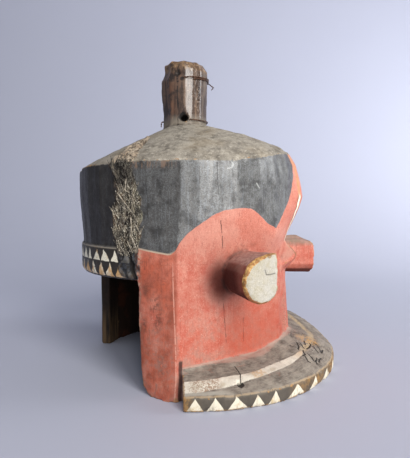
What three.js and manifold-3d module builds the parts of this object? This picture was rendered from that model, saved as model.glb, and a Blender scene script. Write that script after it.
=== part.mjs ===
// Helmet mask carved from one block of wood, with two wires bound round the post on its roof.
// Millimetres, +Z up. The face looks along -Y, and the mask stands on its lower edge at Z = 0.
// Angles are in degrees round the helmet's axis, from the face (-Y) towards the mask's right (-X).
import * as THREE from "three";
import { mergeVertices } from "three/addons/utils/BufferGeometryUtils.js";
import { ConvexGeometry } from "three/addons/geometries/ConvexGeometry.js";
import Module from "manifold-3d";

// Driving dimensions
const capRadius = 118;
const capFootRadius = 114.7;
const capFullHeight = 178;
const rimHeight = 202;
const backRimDrop = 3;
const browRimRise = 13;
const browRimRounding = 8;
const roofTopHeight = 248;
const roofTopRadius = 26;
const collarRadius = 117;
const collarBottom = 97;
const collarTop = 125;
const backWallRadius = 109;
const wallThickness = 11;
const creaseAngle = 70;
const panelEndAngle = 87.5;
const faceBandHalfWidth = 22;
const faceBandDepth = 107;
const faceFlatTop = 105;
const farCornerWear = 4.5;
const cheekNormalAngle = 32.4;
const cheekDistance = 103.5;
const creaseRadiusAtFoot = 127.6;
const panelEndRadius = 121;
const flareFoot = 12;
const browFoot = 142;
const browHalfAngle = 22.5;
const farFlankSlope = 0.27;
const farFlankFootRoom = 12;
const plateRadius = 155.5;
const plateSideRadius = 152;
const plateEdgeHeight = 12.5;
const plateRootHeight = 25;
const plateFrontRootHeight = 32;
const plateHalfAngle = 67.6;
const plateEndTaper = 0.04;
const plateSlopeStart = 108;
const farPlateRise = 15;
const panelToeReach = 8;
const panelToeHeight = 16;
const hollowBackRadius = 98;
const hollowFrontRadius = 105;
const openingStartY = -3.5;
const openingEndAngle = 168.6;
const openingReach = 160;
const eyeAngle = 42;
const eyeReach = 150;
const eyeCentreHeight = 103;
const eyeHalfWidth = 17;
const eyeHalfHeight = 20.5;
const farEyeHump = 7.5;
const farEyeHumpReach = 132;
const farEyeDrop = 4;
const farEyeDropStart = 125;
const postOffsetY = 6;
const postTopHeight = 317;
const pegHoleHeight = 256;
const pegHoleRadius = 3.2;
const pegHoleAngle = 64.5;
const wireGap = 0.35;
const wireRadius = 1;
const bandEndAngle = THREE.MathUtils.radToDeg(Math.atan(faceBandHalfWidth / faceBandDepth));
const axisY = (plateRadius - capRadius) / 2;

// Small helpers
const radians = THREE.MathUtils.degToRad;
const { lerp, clamp, smoothstep } = THREE.MathUtils;

function along(points, x) {
  const last = points.length - 1;
  if (x <= points[0][0]) return points[0][1];
  for (let i = 0; i < last; i++) {
    const [x0, y0] = points[i];
    const [x1, y1] = points[i + 1];
    if (x <= x1) return lerp(y0, y1, (x - x0) / (x1 - x0));
  }
  return points[last][1];
}

function polar(radius, angle, z, centreY = 0) {
  const a = radians(angle);
  return new THREE.Vector3(-radius * Math.sin(a), centreY - radius * Math.cos(a), z);
}

// Joins rings of points into one closed solid: each ring is a closed outline with the same count,
// and the first and last rings are closed by a fan from their middle.
function ringSolid(rings) {
  const count = rings[0].length;
  const points = rings.flat();
  const faces = [];
  const at = (row, column) => row * count + (column % count);
  for (let row = 0; row < rings.length - 1; row++)
    for (let i = 0; i < count; i++) {
      faces.push(at(row, i), at(row, i + 1), at(row + 1, i + 1));
      faces.push(at(row, i), at(row + 1, i + 1), at(row + 1, i));
    }
  for (const row of [0, rings.length - 1]) {
    const middle = new THREE.Vector3();
    rings[row].forEach((p) => middle.add(p));
    points.push(middle.divideScalar(count));
    for (let i = 0; i < count; i++) {
      const edge = row === 0 ? [at(row, i + 1), at(row, i)] : [at(row, i), at(row, i + 1)];
      faces.push(points.length - 1, ...edge);
    }
  }
  const geometry = new THREE.BufferGeometry().setFromPoints(points);
  geometry.setIndex(faces);
  return geometry;
}

const wasm = await Module();
wasm.setup();

function solidOf(geometry) {
  const bare = geometry.clone();
  bare.deleteAttribute("normal");
  bare.deleteAttribute("uv");
  const merged = mergeVertices(bare, 1e-4);
  const mesh = new wasm.Mesh({
    numProp: 3,
    vertProperties: new Float32Array(merged.attributes.position.array),
    triVerts: new Uint32Array(merged.index.array),
  });
  const solid = new wasm.Manifold(mesh);
  if (solid.volume() > 0) return solid;
  for (let i = 0; i < mesh.triVerts.length; i += 3)
    [mesh.triVerts[i + 1], mesh.triVerts[i + 2]] = [mesh.triVerts[i + 2], mesh.triVerts[i + 1]];
  return new wasm.Manifold(mesh);
}

function geometryOf(solid) {
  const { numProp, vertProperties, triVerts } = solid.getMesh();
  const geometry = new THREE.BufferGeometry();
  geometry.setAttribute("position", new THREE.BufferAttribute(vertProperties, numProp));
  geometry.setIndex(new THREE.BufferAttribute(triVerts, 1));
  const flat = geometry.toNonIndexed();
  flat.computeVertexNormals();
  return flat;
}

// Lower edge of the black cap over the face: an arch over each eye, and a point beside the brow
const archLine = [
  [browHalfAngle, browFoot],
  [28, 147],
  [33, 154.5],
  [37, 159.5],
  [41, 161],
  [46, 160.2],
  [51, 158.2],
  [58, 150.5],
  [64, 141.5],
  [69, 130],
  [73, 122],
];

// The brow's ridge in side view, as distance from the axis at each height
const browRidge = [
  [96, 106.5],
  [128, 106.4],
  [138.4, 109.9],
  [144.5, 112.9],
  [154.7, 117.9],
  [166.8, 123.3],
  [174.2, 124.7],
  [183.8, 122.2],
  [190.8, 120.6],
  [200, 118.6],
  [207.4, 115.3],
  [215, 110.2],
];
const browWidth = [
  [browFoot, browHalfAngle],
  [150, 18.7],
  [159, 15.2],
  [169.5, 11.2],
  [178, 8.2],
  [188, 6.3],
  [215, 5],
];

// Where the columns of points that mark the brow's two edges stand at each height
const browColumn = [
  [collarTop, bandEndAngle],
  [browFoot, 18],
  [150, 18],
  ...browWidth.slice(2),
];

function rimHeightAt(angle) {
  const share = 0.5 + 0.5 * Math.cos(Math.PI * clamp(angle / 55, 0, 1));
  return rimHeight + browRimRise * share - backRimDrop * smoothstep(angle, 90, 150);
}

function cheekRadius(angle, distance, creaseRadius) {
  const toCrease = clamp((angle - 45) / (creaseAngle - 45), 0, 1);
  const plane = distance / Math.cos(radians(angle - cheekNormalAngle));
  const band = faceBandDepth / Math.cos(radians(angle));
  const planeAtCrease = distance / Math.cos(radians(creaseAngle - cheekNormalAngle));
  const cheek = plane + (creaseRadius - planeAtCrease) * toCrease ** 2;
  return angle < creaseAngle / 2 ? Math.min(band, cheek) : cheek;
}

function capRadiusAt(angle, z) {
  const taper = smoothstep(z, collarTop, capFullHeight);
  const side = lerp(capFootRadius, capRadius, lerp(1, taper, smoothstep(angle, 83, 97)));
  const rounding = browRimRounding * (0.5 + 0.5 * Math.cos(Math.PI * clamp(angle / 45, 0, 1)));
  const rise = clamp((z - rimHeightAt(angle) + 20) / 20, 0, 1);
  return side - rounding * rise ** 1.5;
}

function faceRadiusAt(angle, z) {
  const middle = cheekRadius(angle, cheekDistance, capRadius + 1);
  const foot = cheekRadius(angle, cheekDistance - 1, creaseRadiusAtFoot);
  const flare = clamp((faceFlatTop - z) / (faceFlatTop - flareFoot), 0, 1);
  if (z < faceFlatTop) return lerp(middle, foot, flare);
  return lerp(middle, capRadius, smoothstep(z, faceFlatTop, along(archLine, angle)));
}

// The corner between the front band and the far cheek is cut back more than the near one
function farCornerCut(signedAngle, z) {
  if (signedAngle >= 0) return 0;
  const atHeight = smoothstep(z, 20, 95) * (1 - smoothstep(z, faceFlatTop, browFoot));
  return farCornerWear * atHeight * Math.exp(-(((signedAngle + 12) / 7) ** 2));
}

// Beside the brow's ridge the far flank is one flat cut that falls away from the ridge
function farFlankRadius(signedAngle, z) {
  if (signedAngle >= 0 || signedAngle < -creaseAngle || z < faceFlatTop) return Infinity;
  const a = radians(-signedAngle);
  const flank = along(browRidge, z) / (Math.cos(a) + farFlankSlope * Math.sin(a));
  return flank + farFlankFootRoom * (1 - smoothstep(z, faceFlatTop, collarTop));
}

// The foot of the side panel spreads where the plate's end grows out of it
function panelToe(angle, z) {
  const low = 1 - smoothstep(z, 0, panelToeHeight);
  const near = smoothstep(angle, 58, creaseAngle) * (1 - smoothstep(angle, creaseAngle, panelEndAngle));
  return panelToeReach * low * near;
}

function outerRadius(signedAngle, z) {
  return Math.min(wallRadius(signedAngle, z), farFlankRadius(signedAngle, z));
}

function wallRadius(signedAngle, z) {
  const angle = Math.abs(signedAngle);
  if (angle > panelEndAngle) {
    if (z < collarBottom) return backWallRadius;
    if (z <= collarTop) return Math.min(collarRadius, collarRadius - 2.5 + (z - collarBottom) * 0.7);
    return capRadiusAt(angle, z);
  }
  if (angle >= creaseAngle) {
    const plane = lerp(creaseRadiusAtFoot, panelEndRadius, (angle - creaseAngle) / (panelEndAngle - creaseAngle));
    const flare = clamp((collarTop - z) / (collarTop - flareFoot), 0, 1);
    return lerp(capRadiusAt(angle, z), plane, flare) + panelToe(angle, z);
  }
  if (angle >= browHalfAngle) {
    const face = faceRadiusAt(angle, z) + panelToe(angle, z);
    return z < along(archLine, angle) ? face : capRadiusAt(angle, z);
  }
  if (z <= faceFlatTop) return faceRadiusAt(angle, z) - farCornerCut(signedAngle, z);
  const ridge = along(browRidge, z) - farCornerCut(signedAngle, z);
  const halfWidth = along(browWidth, z);
  const beside = z < browFoot ? faceRadiusAt(browHalfAngle, z) : capRadiusAt(angle, z);
  return lerp(ridge, beside, clamp(angle / halfWidth, 0, 1));
}

// Columns round the axis, closer together where the brow and the panel edge need them
function columnAngles() {
  const stops = [
    [0, 0],
    [bandEndAngle, 3],
    [browHalfAngle, 3],
    [creaseAngle, 11],
    [panelEndAngle, 4],
    [panelEndAngle + 1, 1],
    [180, 18],
  ];
  const half = [];
  for (let i = 1; i < stops.length; i++) {
    const [from] = stops[i - 1];
    const [to, steps] = stops[i];
    for (let k = 0; k < steps; k++) half.push(lerp(from, to, k / steps));
  }
  const mirrored = half.slice(1).map((angle) => -angle);
  return [...half, 180, ...mirrored.reverse()];
}

// Slides the columns beside the middle so that one runs along the brow's edge at every height
function browAligned(signedAngle, z) {
  const angle = Math.abs(signedAngle);
  if (angle >= browHalfAngle) return signedAngle;
  const edge = along(browColumn, z);
  const outer = (angle - bandEndAngle) / (browHalfAngle - bandEndAngle);
  const moved = outer < 0 ? (edge * angle) / bandEndAngle : lerp(edge, browHalfAngle, outer);
  return Math.sign(signedAngle) * moved;
}

// The height one row of points follows: the arch over the eye, then level round the back
function pivotHeight(signedAngle) {
  const angle = clamp(Math.abs(signedAngle), browHalfAngle, 64);
  return along(archLine, angle);
}

function outerShell() {
  const angles = columnAngles();
  const row = (height, squeeze = (angle, z) => polar(outerRadius(angle, z), angle, z)) =>
    angles.map((base) => {
      const z = height(base);
      return squeeze(browAligned(base, z), z);
    });
  const lowRows = [0, 5, 14, 35, 60, 84, collarBottom - 0.05, collarBottom, 101, 105, 113, 119, collarTop];
  const rings = lowRows.map((z) => row(() => z));
  for (const share of [0.01, 0.2, 0.45, 0.7, 1])
    rings.push(row((angle) => lerp(collarTop, pivotHeight(angle), share)));
  for (const share of [0.13, 0.27, 0.41, 0.55, 0.69, 0.84, 1])
    rings.push(row((angle) => lerp(pivotHeight(angle), rimHeightAt(Math.abs(angle)), share)));
  for (const share of [0.12, 0.3, 0.5, 0.75, 1])
    rings.push(
      row(
        (angle) => {
          const frontShare = (0.5 + 0.5 * Math.cos(radians(angle))) ** 2;
          const climb = share ** lerp(0.95, 0.7, frontShare);
          return lerp(rimHeightAt(Math.abs(angle)), roofTopHeight, climb);
        },
        (angle, z) => {
          const rim = outerRadius(angle, rimHeightAt(Math.abs(angle)));
          return polar(lerp(rim, roofTopRadius, share), angle, z);
        },
      ),
    );
  return ringSolid(rings);
}

// The hollow follows the wall at an even thickness, with a domed crown under the roof
function hollow() {
  const angles = columnAngles().filter((angle, i) => i % 2 === 0);
  const innerRadius = (signedAngle, z) => {
    const angle = Math.abs(signedAngle);
    const frontOuter = outerRadius(clamp(signedAngle, -panelEndAngle, panelEndAngle), clamp(z, 20, 160));
    const front = Math.min(frontOuter - wallThickness, hollowFrontRadius);
    return lerp(front, hollowBackRadius, smoothstep(angle, 74, panelEndAngle + 4));
  };
  const wallRows = [-2, 30, 80, 110, 150, 185];
  const crownRows = [
    [0.94, 196],
    [0.8, 205],
    [0.55, 215],
    [0.25, 223],
  ];
  const rings = wallRows.map((z) => angles.map((angle) => polar(innerRadius(angle, z), angle, z)));
  for (const [share, z] of crownRows)
    rings.push(angles.map((angle) => polar(innerRadius(angle, 160) * share, angle, z)));
  return ringSolid(rings);
}

// The open quarter under the collar, from the right side panel's worn edge to the back wall's cut edge
function sideOpening() {
  const edgeY = [
    [-2, -26],
    [2, -17],
    [7, -12.5],
    [14, -10.5],
    [collarBottom, openingStartY],
  ];
  return ringSolid(
    edgeY.map(([z, y]) => [
      new THREE.Vector3(-openingReach, y, z),
      new THREE.Vector3(-86, y, z),
      polar(92, openingEndAngle, z),
      polar(140, openingEndAngle, z),
      new THREE.Vector3(-openingReach, 137, z),
    ]),
  );
}

// Half-round plate under the face: flat below, its top rising from a banded rim to the face
function plate() {
  const steps = 48;
  const rings = [];
  for (let i = 0; i <= steps; i++) {
    const share = lerp(-1, 1, i / steps);
    const side = Math.abs(share);
    const reach = lerp(plateRadius, plateSideRadius, smoothstep(side, 0.5, 1));
    const rise = farPlateRise * smoothstep(-share, 0.35, 1);
    const root = lerp(plateFrontRootHeight, plateRootHeight, smoothstep(side, 0.14, 0.45)) + rise * 0.6;
    const edge = plateEdgeHeight + rise;
    const section = [
      [90, 0],
      [reach - 1, 0],
      [reach, 1],
      [reach, edge - 1.5],
      [reach - 2, edge],
      [lerp(reach, plateSlopeStart, 0.35), lerp(edge, root, 0.5)],
      [plateSlopeStart, root],
      [90, root + 1],
    ];
    rings.push(
      section.map(([radius, z]) => {
        const endAngle = plateHalfAngle + (132 - Math.max(radius, 120)) * plateEndTaper;
        return polar(radius, share * endAngle, z);
      }),
    );
  }
  return ringSolid(rings);
}

// Short nose: a broad low pyramid with a sloping underside
function nose() {
  const corners = [
    [0, -104, 130],
    [0, -119, 115.5],
    [-2.5, -118.2, 110],
    [2.5, -118.2, 110],
    [-faceBandHalfWidth, -103, 101],
    [faceBandHalfWidth, -103, 101],
    [0, -105, 96],
    [-14, -96, 118],
    [14, -96, 118],
    [0, -96, 98],
  ];
  return new ConvexGeometry(corners.map(([x, y, z]) => new THREE.Vector3(x, y, z)));
}

// Outline of an eye's end, flat towards the nose, pointed at its upper inner corner, round below
const eyeOutline = [
  [-0.92, 1.04],
  [-0.97, 0.62],
  [-1.01, 0.05],
  [-1, -0.42],
  [-0.82, -0.76],
  [-0.42, -0.98],
  [0.05, -1.02],
  [0.48, -0.88],
  [0.78, -0.58],
  [0.94, -0.18],
  [0.88, 0.2],
  [0.64, 0.58],
  [0.2, 0.84],
  [-0.36, 0.97],
];

// The far eye is lower at its end, and its top is humped where it leaves the face
function farEyeTop(u, v, reach) {
  if (v <= 0) return 0;
  const hump = farEyeHump * smoothstep(u, -0.92, -0.36) * (1 - smoothstep(u, 0.2, 0.64));
  const fading = 1 - smoothstep(reach, farEyeHumpReach, eyeReach);
  return hump * fading - farEyeDrop * v * smoothstep(reach, farEyeDropStart, eyeReach);
}

function eye(side) {
  const a = radians(eyeAngle);
  const outwards = new THREE.Vector3(-side * Math.sin(a), -Math.cos(a), 0);
  const across = new THREE.Vector3(-side * Math.cos(a), Math.sin(a), 0);
  const rings = [
    [94, 0.84, 0.88],
    [112, 0.86, 0.9],
    [130, 0.92, 0.95],
    [140, 0.96, 0.975],
    [eyeReach - 2, 1, 1],
    [eyeReach, 0.97, 0.97],
  ].map(([reach, wide, tall]) =>
    eyeOutline.map(([u, v]) => {
      const point = outwards.clone().multiplyScalar(reach);
      point.addScaledVector(across, u * eyeHalfWidth * wide);
      point.z = eyeCentreHeight + v * eyeHalfHeight * tall;
      if (side < 0) point.z += farEyeTop(u, v, reach);
      return point;
    }),
  );
  return ringSolid(rings);
}

// Stub post: thicker at mid-height, notched under its top at the back, chamfered at the front
const postBackProfile = [
  [236, 26],
  [250, 24],
  [262, 23.6],
  [285, 25.4],
  [298, 25.8],
  [303, 23.6],
  [308, 21.8],
  [315, 22.8],
  [postTopHeight, 22],
];
const postFrontProfile = [
  [236, 26],
  [250, 23.6],
  [262, 23.9],
  [285, 24.4],
  [302, 24.8],
  [308, 25],
  [315, 20],
  [postTopHeight, 16.5],
];
const postFrontAngle = -24;

function postRadius(angle, z) {
  const share = 0.5 + 0.5 * Math.cos(radians(angle - postFrontAngle));
  const facet = 1 - 0.035 * Math.abs(Math.sin(radians(angle * 3.5 + 20)));
  return lerp(along(postBackProfile, z), along(postFrontProfile, z), share) * facet;
}

function post() {
  const columns = 24;
  const angles = Array.from({ length: columns }, (unused, i) => (i * 360) / columns);
  const heights = [236, 250, 262, 274, 286, 298, 303, 308, 312, 315, postTopHeight];
  return ringSolid(
    heights.map((z) => angles.map((angle) => polar(postRadius(angle, z), angle, z, postOffsetY))),
  );
}

function pegHole() {
  const hole = new THREE.CylinderGeometry(pegHoleRadius, pegHoleRadius, 30, 12);
  const direction = polar(1, pegHoleAngle, 0.12).normalize();
  hole.applyQuaternion(new THREE.Quaternion().setFromUnitVectors(new THREE.Vector3(0, 1, 0), direction));
  const mouth = polar(26, pegHoleAngle, pegHoleHeight, postOffsetY);
  return hole.translate(mouth.x, mouth.y, mouth.z);
}

function helmet() {
  let solid = solidOf(outerShell());
  for (const part of [plate(), nose(), eye(1), eye(-1), post()]) solid = solid.add(solidOf(part));
  for (const cut of [hollow(), sideOpening(), pegHole()]) solid = solid.subtract(solidOf(cut));
  return geometryOf(solid);
}

// One strand of wire: a round tube through points given as distance from the post's axis, angle, height
function strand(points) {
  const path = points.map(([radius, angle, z]) => polar(radius, angle, z, postOffsetY));
  const curve = new THREE.CatmullRomCurve3(path, false, "centripetal");
  const section = new THREE.Shape().absarc(0, 0, wireRadius, 0, Math.PI * 2);
  const steps = Math.round(curve.getLength() / 4.5);
  const options = { steps, curveSegments: 3, extrudePath: curve, bevelEnabled: false };
  return solidOf(new THREE.ExtrudeGeometry(section, options));
}

// Points of a turn that follows the post's surface at a small gap
function turn(from, to, height) {
  const count = Math.round(Math.abs(to - from) / 7);
  return Array.from({ length: count + 1 }, (unused, i) => {
    const angle = lerp(from, to, i / count);
    const z = height(angle);
    return [postRadius(angle, z) + wireGap + wireRadius, angle, z];
  });
}

function upperWire() {
  const height = (angle) => 299 + 2 * Math.cos(radians(angle + 60));
  const under = (angle) => height(angle) - 1.7 * wireRadius;
  const first = strand(turn(68, -205, height));
  const second = strand(turn(44, -190, under));
  const twistedEnds = strand([
    ...turn(-48, -36, under),
    [27.2, -30, 297.5],
    [28.8, -27, 295.6],
    [31, -25, 293.5],
    [29, -21, 290.5],
  ]);
  return geometryOf(first.add(second).add(twistedEnds));
}

function lowerWire() {
  const height = (angle) => 255.4 - 1.2 * Math.cos(radians(angle - 30));
  const hangingEnd = [
    [26.6, -209, 254.6],
    [27.3, -212, 252.6],
    [27.7, -213, 249.8],
  ];
  return geometryOf(strand([...turn(54, -204, height), ...hangingEnd]));
}

const wood = new THREE.MeshStandardMaterial({ color: 0x5a4a42, roughness: 0.8, metalness: 0 });
const iron = new THREE.MeshStandardMaterial({ color: 0x2c211b, roughness: 0.6, metalness: 0.7 });

const mask = new THREE.Group();
mask.position.y = axisY;

function place(name, geometry, material) {
  const mesh = new THREE.Mesh(geometry, material);
  mesh.name = name;
  mask.add(mesh);
}

place("helmet", helmet(), wood);
place("post_wire_upper", upperWire(), iron);
place("post_wire_lower", lowerWire(), iron);

export default mask;
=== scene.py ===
import math
import bpy
import bmesh
import numpy as np
from mathutils import Matrix, Vector


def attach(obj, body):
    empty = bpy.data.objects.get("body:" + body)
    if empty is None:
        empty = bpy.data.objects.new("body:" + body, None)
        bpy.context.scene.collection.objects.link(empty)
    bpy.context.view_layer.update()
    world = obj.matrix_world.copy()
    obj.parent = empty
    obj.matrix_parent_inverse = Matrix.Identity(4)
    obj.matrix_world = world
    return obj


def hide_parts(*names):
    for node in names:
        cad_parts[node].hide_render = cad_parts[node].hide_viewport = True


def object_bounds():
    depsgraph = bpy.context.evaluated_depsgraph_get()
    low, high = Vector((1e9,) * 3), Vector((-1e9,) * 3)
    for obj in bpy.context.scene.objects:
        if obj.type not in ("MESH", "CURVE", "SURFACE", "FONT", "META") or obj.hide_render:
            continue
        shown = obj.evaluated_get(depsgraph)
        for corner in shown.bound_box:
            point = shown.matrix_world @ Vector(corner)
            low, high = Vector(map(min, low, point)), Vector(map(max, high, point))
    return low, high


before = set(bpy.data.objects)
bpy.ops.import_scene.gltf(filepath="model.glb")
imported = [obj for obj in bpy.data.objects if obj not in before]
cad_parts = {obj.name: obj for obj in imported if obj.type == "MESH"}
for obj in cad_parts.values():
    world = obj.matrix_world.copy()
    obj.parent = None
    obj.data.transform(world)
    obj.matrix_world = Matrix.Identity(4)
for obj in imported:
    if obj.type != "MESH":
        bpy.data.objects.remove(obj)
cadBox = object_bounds()

# The helmet's own axis stands a little behind the middle of its box. Fields are worked out in mm
# from that axis, and in degrees from the face towards the mask's right side.
axisBack = 0.01875


def newObject(name, data):
    made = bpy.data.objects.new(name, data)
    bpy.context.collection.objects.link(made)
    return made


# Camera, as the photograph was taken: beside the face, a little above the middle
cameraView = {
    "place": (-0.4386, -0.19035, 0.1622),
    "right": (0.3998, -0.9166, -0.0003),
    "up": (0.0474, 0.0204, 0.9987),
    "lens": 34.16,
}
right = Vector(cameraView["right"]).normalized()
back = right.cross(Vector(cameraView["up"])).normalized()
up = back.cross(right)
cameraData = bpy.data.cameras.new("camera")
cameraData.lens = cameraView["lens"]
cameraData.sensor_width = 36
camera = newObject("camera", cameraData)
camera.matrix_world = Matrix.Translation(cameraView["place"]) @ Matrix((right, up, back)).transposed().to_4x4()
bpy.context.scene.camera = camera
print("camera placed")


def tone(code):
    if not isinstance(code, str):
        return (code, code, code, 1.0)
    parts = [int(code[i:i + 2], 16) / 255 for i in (1, 3, 5)]
    return tuple(c / 12.92 if c <= 0.04045 else ((c + 0.055) / 1.055) ** 2.4 for c in parts) + (1.0,)


class Value:
    # A node's output that can take part in sums
    def __init__(self, sheet, socket):
        self.sheet, self.socket = sheet, socket

    def __add__(self, other):
        return self.sheet.math("ADD", self, other)

    def __sub__(self, other):
        return self.sheet.math("SUBTRACT", self, other)

    def __rsub__(self, other):
        return self.sheet.math("SUBTRACT", other, self)

    def __mul__(self, other):
        return self.sheet.math("MULTIPLY", self, other)

    __radd__, __rmul__ = __add__, __mul__

    def lay(self, colour, share, *masks):
        # One more coat on this colour. A mask given as (value, low, high) is a rise.
        for mask in masks:
            share = (self.sheet.rise(*mask) if isinstance(mask, tuple) else mask) * share
        self.socket = self.sheet.mix(share, self, colour).socket


class Sheet:
    # Adds nodes to one tree. An input may be a number, a vector, a colour code or a Value.
    def __init__(self, tree):
        self.tree = tree

    def add(self, kind, values=None, **settings):
        made = self.tree.nodes.new(kind)
        for name, value in settings.items():
            setattr(made, name, value)
        for name, value in (values or {}).items():
            self.feed(made.inputs[name], value)
        return made

    def value(self, kind, values=None, output=0, **settings):
        return Value(self, self.add(kind, values, **settings).outputs[output])

    def feed(self, socket, value):
        if isinstance(value, Value):
            self.tree.links.new(value.socket, socket)
        else:
            socket.default_value = tone(value) if socket.type == "RGBA" else value

    def math(self, operation, a, b=0.0):
        return self.value("ShaderNodeMath", {0: a, 1: b}, operation=operation)

    def over(self, *values):
        top = values[0]
        for value in values[1:]:
            top = self.math("MAXIMUM", top, value)
        return top

    def vector(self, operation, a, b=(0, 0, 0)):
        output = "Value" if operation in ("DOT_PRODUCT", "DISTANCE", "LENGTH") else "Vector"
        return self.value("ShaderNodeVectorMath", {0: a, 1: b}, output, operation=operation)

    def apart(self, a, b):
        return self.vector("DISTANCE", a, b)

    def scaled(self, vector, by):
        return self.value("ShaderNodeVectorMath", {0: vector, "Scale": by}, operation="SCALE")

    def combine(self, x, y, z=0.0):
        return self.value("ShaderNodeCombineXYZ", {"X": x, "Y": y, "Z": z})

    def part(self, vector, axis):
        return self.value("ShaderNodeSeparateXYZ", {0: vector}, axis)

    def facing(self):
        return self.part(self.value("ShaderNodeNewGeometry", output="Normal"), "Z")

    def rise(self, value, low, high):
        # From 0 at low to 1 at high, so it falls where low is the greater
        values = {"Value": value, "From Min": low, "From Max": high}
        return self.value("ShaderNodeMapRange", values, interpolation_type="SMOOTHSTEP", clamp=False)

    def near(self, value, middle, inner, outer):
        return self.rise(self.math("ABSOLUTE", value - middle), outer, inner)

    def mix(self, share, a, b):
        return self.value("ShaderNodeMix", {0: share, 6: a, 7: b}, 2, data_type="RGBA")

    def noise(self, vector, scale, detail=3.0, rough=0.55, warp=0.0):
        values = {"Vector": vector, "Scale": scale, "Detail": detail, "Roughness": rough, "Distortion": warp}
        return self.value("ShaderNodeTexNoise", values, "Fac")

    def stretch(self, vector, scale, turn=(0.0, 0.0, 0.0)):
        return self.value("ShaderNodeMapping", {"Vector": vector, "Scale": scale, "Rotation": turn})

    def field(self, name):
        return self.value("ShaderNodeAttribute", output="Fac", attribute_name=name)

    def group(self, tree, values):
        made = self.add("ShaderNodeGroup", values, node_tree=tree)
        return {socket.name: Value(self, socket) for socket in made.outputs}

    def relief(self, surface, height, strength, distance):
        values = {"Height": height, "Strength": strength, "Distance": distance}
        self.feed(surface.inputs["Normal"], self.value("ShaderNodeBump", values))


def newGroup(name, inputs, outputs, kind="ShaderNodeTree"):
    tree = bpy.data.node_groups.new(name, kind)
    for way, rows in (("INPUT", inputs), ("OUTPUT", outputs)):
        for label, socketKind, *value in rows:
            socket = tree.interface.new_socket(label, in_out=way, socket_type="NodeSocket" + socketKind)
            if value:
                socket.default_value = value[0]
    sheet = Sheet(tree)
    given = {socket.name: Value(sheet, socket) for socket in tree.nodes.new("NodeGroupInput").outputs}
    return sheet, given, tree.nodes.new("NodeGroupOutput").inputs


def newMaterial(name, roughness=0.5):
    material = bpy.data.materials.new(name)
    material.use_nodes = True
    material.node_tree.nodes.clear()
    sheet = Sheet(material.node_tree)
    surface = sheet.add("ShaderNodeBsdfPrincipled", {"Roughness": roughness})
    output = sheet.add("ShaderNodeOutputMaterial")
    sheet.tree.links.new(surface.outputs[0], output.inputs[0])
    return material, sheet, surface, sheet.value("ShaderNodeTexCoord", output="Object")


# Wood grain: long fibres along the up direction, with darker bands
sheet, given, result = newGroup(
    "carvedGrain", [("Vector", "Vector"), ("Fineness", "Float", 1.0)], [("Tone", "Float"), ("Height", "Float")])
sized = sheet.scaled(given["Vector"], given["Fineness"])
fibre = sheet.noise(sheet.stretch(sized, (1, 1, 0.07)), 320, 5, 0.6, 0.3)
band = sheet.noise(sheet.stretch(sized, (1, 1, 0.12)), 60, 3, 0.5, 0.6)
sheet.feed(result["Tone"], sheet.rise(fibre * 0.6 + band * 0.4, 0.36, 0.64))
sheet.feed(result["Height"], fibre)
grainGroup = sheet.tree

# Rubbed patches: a mask that spreads where Edge is high and breaks up at two sizes
sheet, given, result = newGroup(
    "rubbedPatches", [("Vector", "Vector"), ("Edge", "Float", 0.0), ("Amount", "Float", 0.5)], [("Mask", "Float")])
broken = sheet.noise(given["Vector"], 45, 4, 0.6) * 0.5 + sheet.noise(given["Vector"], 420, 4, 0.7) * 0.5
pushed = broken + given["Edge"] * 0.4
sheet.feed(result["Mask"], sheet.rise(pushed - (1 - given["Amount"]), 0.0, 0.06))
wearGroup = sheet.tree

# Dust that lies on what faces up
sheet, given, result = newGroup(
    "settledDust", [("Vector", "Vector"), ("Amount", "Float", 0.5)], [("Mask", "Float")])
cloud = sheet.rise(sheet.noise(given["Vector"], 90, 5, 0.7), 0.25, 0.75)
lying = sheet.rise(sheet.facing(), 0.2, 0.95) * given["Amount"]
sheet.feed(result["Mask"], lying * cloud)
dustGroup = sheet.tree

# One straight stroke: 1 on it, 0 away from it
sheet, given, result = newGroup(
    "cutStroke",
    [("Point", "Vector"), ("From", "Vector", (0, 0, 0)), ("To", "Vector", (1, 0, 0)), ("Width", "Float", 0.6)],
    [("Mask", "Float")])
span = sheet.vector("SUBTRACT", given["To"], given["From"])
away = sheet.vector("SUBTRACT", given["Point"], given["From"])
reach = sheet.math("DIVIDE", sheet.vector("DOT_PRODUCT", away, span), sheet.vector("DOT_PRODUCT", span, span))
reach = sheet.math("MINIMUM", sheet.over(reach, 0.0), 1.0)
gap = sheet.apart(away, sheet.scaled(span, reach))
sheet.feed(result["Mask"], sheet.rise(gap, given["Width"], given["Width"] * 0.4))
strokeGroup = sheet.tree


def unit(value):
    return np.clip(value, 0, 1)


def smooth(value, low, high):
    share = unit((value - low) / (high - low))
    return share * share * (3 - 2 * share)


def bell(gap, width):
    return np.exp(-(gap / width) ** 2)


def blendTo(a, b, share):
    return a + (b - a) * share


def scatter(*parts):
    mixed = np.zeros(np.broadcast(*parts).shape, np.int64)
    for step, part in enumerate(parts):
        mixed ^= np.asarray(part).astype(np.int64) * (73856093, 19349663, 83492791, 2654435761)[step]
    mixed = ((mixed ^ (mixed >> 13)) * 1274126177) & 0xFFFFFFFF
    return ((mixed ^ (mixed >> 15)) & 0xFFFF) / 65535


def lumps(points, size, seed):
    # Soft random bumps between -1 and 1, as big as size
    scaled = points / size
    base = np.floor(scaled).astype(np.int64)
    inside = smooth(scaled - base, 0, 1)
    total = 0
    for corner in range(8):
        step = np.array([corner & 1, corner >> 1 & 1, corner >> 2 & 1])
        weight = np.prod(np.where(step == 1, inside, 1 - inside), axis=1)
        x, y, z = (base + step).T
        total = total + weight * scatter(x, y, z, seed)
    return total * 2 - 1


def roughness(points, size, seed, layers=3):
    return sum(lumps(points, size / 2 ** k, seed + k) * 0.55 ** k for k in range(layers))


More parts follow.
